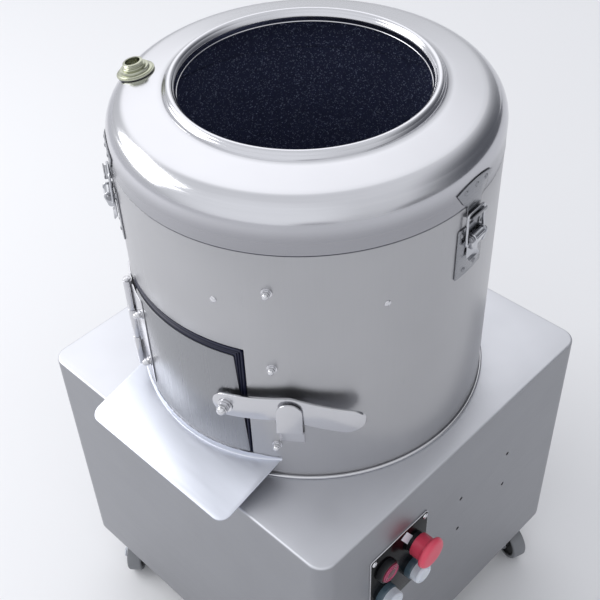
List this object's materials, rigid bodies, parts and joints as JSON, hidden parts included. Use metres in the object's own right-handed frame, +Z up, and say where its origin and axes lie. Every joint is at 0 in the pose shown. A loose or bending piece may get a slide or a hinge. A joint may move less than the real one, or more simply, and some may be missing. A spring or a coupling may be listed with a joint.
{
  "type": "electric potato peeler",
  "caption": "Batch potato peeler: steel drum with abrasive lining and driven disc on a boxed base with castors, latched lid with feed mouth, side discharge door and tray.",
  "frame": {"origin": "on the floor, under the drum axis, at the bottom centre of the bounding box", "axes": "+Z up along the drum axis, the discharge door and tray face -Y, the control panel faces +X"},
  "size_m": [0.52, 0.515, 0.7966],
  "materials": {
    "housing_steel": "brushed stainless sheet",
    "frame_steel": "plain welded square bar and plate",
    "drum_steel": "stainless sheet with upright brush lines",
    "lid_steel": "spun and polished stainless sheet",
    "tray_steel": "smooth stainless sheet",
    "fitting_steel": "polished stainless fittings",
    "fastener_steel": "bright stainless nuts and bolts",
    "abrasive_grit": "bonded abrasive grit, rough and sparkling",
    "black_rubber": "matte black rubber",
    "inlet_brass": "pale nickel-brass",
    "panel_black": "glossy black plate",
    "bezel_plastic": "dark moulded plastic",
    "stop_red": "red moulded plastic",
    "lamp_red": "dark red ribbed lens",
    "cap_silicone": "whitish flexible cap",
    "bearing_steel": "ground steel",
    "housing_iron": "painted cast iron",
    "motor_paint": "grey-blue paint",
    "castor_zinc": "zinc-plated pressed metal",
    "castor_tread": "grey-black tread"
  },
  "bodies": {
    "base": {"base_housing": "housing_steel", "base_frame": "frame_steel", "rear_cover": "housing_steel", "castor_plates": "castor_zinc", "drum_shell": "drum_steel", "drum_liner": "abrasive_grit", "liner_strip": "drum_steel", "wall_bolts": "fastener_steel", "chamber_floor": "drum_steel", "bearing_housing": "housing_iron", "shaft_bearings": "bearing_steel", "shaft_seal": "black_rubber", "drain_pipe": "fitting_steel", "discharge_tray": "tray_steel", "lever_keeper": "fitting_steel", "hinge_body_leaf": "fitting_steel", "latch_plates": "fitting_steel", "control_panel": "panel_black", "panel_screws": "fastener_steel", "control_bezels": "bezel_plastic", "lamp_lens": "lamp_red", "contact_blocks": "bezel_plastic", "cable_gland": "bezel_plastic", "motor_body": "motor_paint", "motor_plate": "frame_steel", "v_belt": "black_rubber"},
    "disc": {"drive_shaft": "bearing_steel", "abrasive_disc": "abrasive_grit", "disc_nut": "fastener_steel", "driven_pulley": "housing_iron"},
    "rotor": {"motor_shaft": "bearing_steel", "motor_pulley": "housing_iron"},
    "door": {"discharge_door": "drum_steel", "door_gasket": "black_rubber", "door_liner": "abrasive_grit", "hinge_door_leaf": "fitting_steel", "door_bolts": "fastener_steel"},
    "lever": {"door_lever": "fitting_steel"},
    "lid": {"lid_dome": "lid_steel", "lid_seal": "black_rubber", "latch_strikes": "fitting_steel", "water_inlet": "inlet_brass", "inlet_washer": "black_rubber"},
    "start_button": {"start_button": "cap_silicone"},
    "stop_button": {"stop_button": "cap_silicone"},
    "estop": {"estop_head": "stop_red"},
    "latch_lever_1": {"latch_lever_1": "fitting_steel"},
    "latch_loop_1": {"latch_loop_1": "fitting_steel"},
    "latch_lever_2": {"latch_lever_2": "fitting_steel"},
    "latch_loop_2": {"latch_loop_2": "fitting_steel"},
    "latch_lever_3": {"latch_lever_3": "fitting_steel"},
    "latch_loop_3": {"latch_loop_3": "fitting_steel"},
    "castor_fork_1": {"castor_fork_1": "castor_zinc"},
    "castor_wheel_1": {"castor_wheel_1": "castor_tread"},
    "castor_fork_2": {"castor_fork_2": "castor_zinc"},
    "castor_wheel_2": {"castor_wheel_2": "castor_tread"},
    "castor_fork_3": {"castor_fork_3": "castor_zinc"},
    "castor_wheel_3": {"castor_wheel_3": "castor_tread"},
    "castor_fork_4": {"castor_fork_4": "castor_zinc"},
    "castor_wheel_4": {"castor_wheel_4": "castor_tread"}
  },
  "joints": [
    {"name": "disc_spin", "type": "hinge", "parent": "base", "child": "disc", "pos_m": [0, 0, 0.43], "axis": [0, 0, 1], "continuous": true},
    {"name": "rotor_spin", "type": "hinge", "parent": "base", "child": "rotor", "pos_m": [0, 0.15, 0.13], "axis": [0, 0, 1], "continuous": true},
    {"name": "door_hinge", "type": "hinge", "parent": "base", "child": "door", "pos_m": [-0.09853, -0.18148, 0.521], "axis": [0, 0, -1], "range_deg": [0, 110]},
    {"name": "lever_pivot", "type": "hinge", "parent": "door", "child": "lever", "pos_m": [0.06605, -0.19512, 0.524], "axis": [0.3206, -0.9472, 0], "range_deg": [0, 24.5]},
    {"name": "lid_lift", "type": "slide", "parent": "base", "child": "lid", "axis": [0, 0, 1], "range_m": [0, 0.2]},
    {"name": "latch_lever_1_pivot", "type": "hinge", "parent": "base", "child": "latch_lever_1", "pos_m": [0.20686, 0.01628, 0.694], "axis": [0.0785, -0.9969, 0], "range_deg": [0, 110]},
    {"name": "latch_loop_1_pivot", "type": "hinge", "parent": "latch_lever_1", "child": "latch_loop_1", "pos_m": [0.20397, 0.01605, 0.688], "axis": [-0.0785, 0.9969, 0], "range_deg": [0, 93.5]},
    {"name": "latch_lever_2_pivot", "type": "hinge", "parent": "base", "child": "latch_lever_2", "pos_m": [-0.10609, 0.17833, 0.694], "axis": [0.8594, 0.5113, 0], "range_deg": [0, 110]},
    {"name": "latch_loop_2_pivot", "type": "hinge", "parent": "latch_lever_2", "child": "latch_loop_2", "pos_m": [-0.10461, 0.17583, 0.688], "axis": [-0.8594, -0.5113, 0], "range_deg": [0, 93.5]},
    {"name": "latch_lever_3_pivot", "type": "hinge", "parent": "base", "child": "latch_lever_3", "pos_m": [-0.11301, -0.17402, 0.694], "axis": [-0.8387, 0.5446, 0], "range_deg": [0, 110]},
    {"name": "latch_loop_3_pivot", "type": "hinge", "parent": "latch_lever_3", "child": "latch_loop_3", "pos_m": [-0.11143, -0.17159, 0.688], "axis": [0.8387, -0.5446, 0], "range_deg": [0, 93.5]},
    {"name": "castor_swivel_1", "type": "hinge", "parent": "base", "child": "castor_fork_1", "pos_m": [-0.188, -0.188, 0.06], "axis": [0, 0, 1], "continuous": true},
    {"name": "castor_roll_1", "type": "hinge", "parent": "castor_fork_1", "child": "castor_wheel_1", "pos_m": [-0.17, -0.20945, 0.025], "axis": [0.766, 0.6428, 0], "continuous": true},
    {"name": "castor_swivel_2", "type": "hinge", "parent": "base", "child": "castor_fork_2", "pos_m": [0.188, -0.188, 0.06], "axis": [0, 0, 1], "continuous": true},
    {"name": "castor_roll_2", "type": "hinge", "parent": "castor_fork_2", "child": "castor_wheel_2", "pos_m": [0.2078, -0.2078, 0.025], "axis": [0.7071, 0.7071, 0], "continuous": true},
    {"name": "castor_swivel_3", "type": "hinge", "parent": "base", "child": "castor_fork_3", "pos_m": [0.188, 0.188, 0.06], "axis": [0, 0, 1], "continuous": true},
    {"name": "castor_roll_3", "type": "hinge", "parent": "castor_fork_3", "child": "castor_wheel_3", "pos_m": [0.21431, 0.17842, 0.025], "axis": [0.342, 0.9397, 0], "continuous": true},
    {"name": "castor_swivel_4", "type": "hinge", "parent": "base", "child": "castor_fork_4", "pos_m": [-0.188, 0.188, 0.06], "axis": [0, 0, 1], "continuous": true},
    {"name": "castor_roll_4", "type": "hinge", "parent": "castor_fork_4", "child": "castor_wheel_4", "pos_m": [-0.202, 0.16375, 0.025], "axis": [0.866, -0.5, 0], "continuous": true},
    {"name": "start_press", "type": "slide", "parent": "base", "child": "start_button", "axis": [-1, 0, 0], "range_m": [0, 0.003], "stiffness_N_per_m": 500, "springref_m": -0.002},
    {"name": "stop_press", "type": "slide", "parent": "base", "child": "stop_button", "axis": [-1, 0, 0], "range_m": [0, 0.003], "stiffness_N_per_m": 500, "springref_m": -0.002},
    {"name": "estop_press", "type": "slide", "parent": "base", "child": "estop", "axis": [-1, 0, 0], "range_m": [0, 0.005]}
  ],
  "couplings": [
    {"joint": "rotor_spin", "follows": "disc_spin", "ratio": 3.1034},
    {"joint": "latch_loop_1_pivot", "follows": "latch_lever_1_pivot", "ratio": 0.85},
    {"joint": "latch_loop_2_pivot", "follows": "latch_lever_2_pivot", "ratio": 0.85},
    {"joint": "latch_loop_3_pivot", "follows": "latch_lever_3_pivot", "ratio": 0.85}
  ]
}
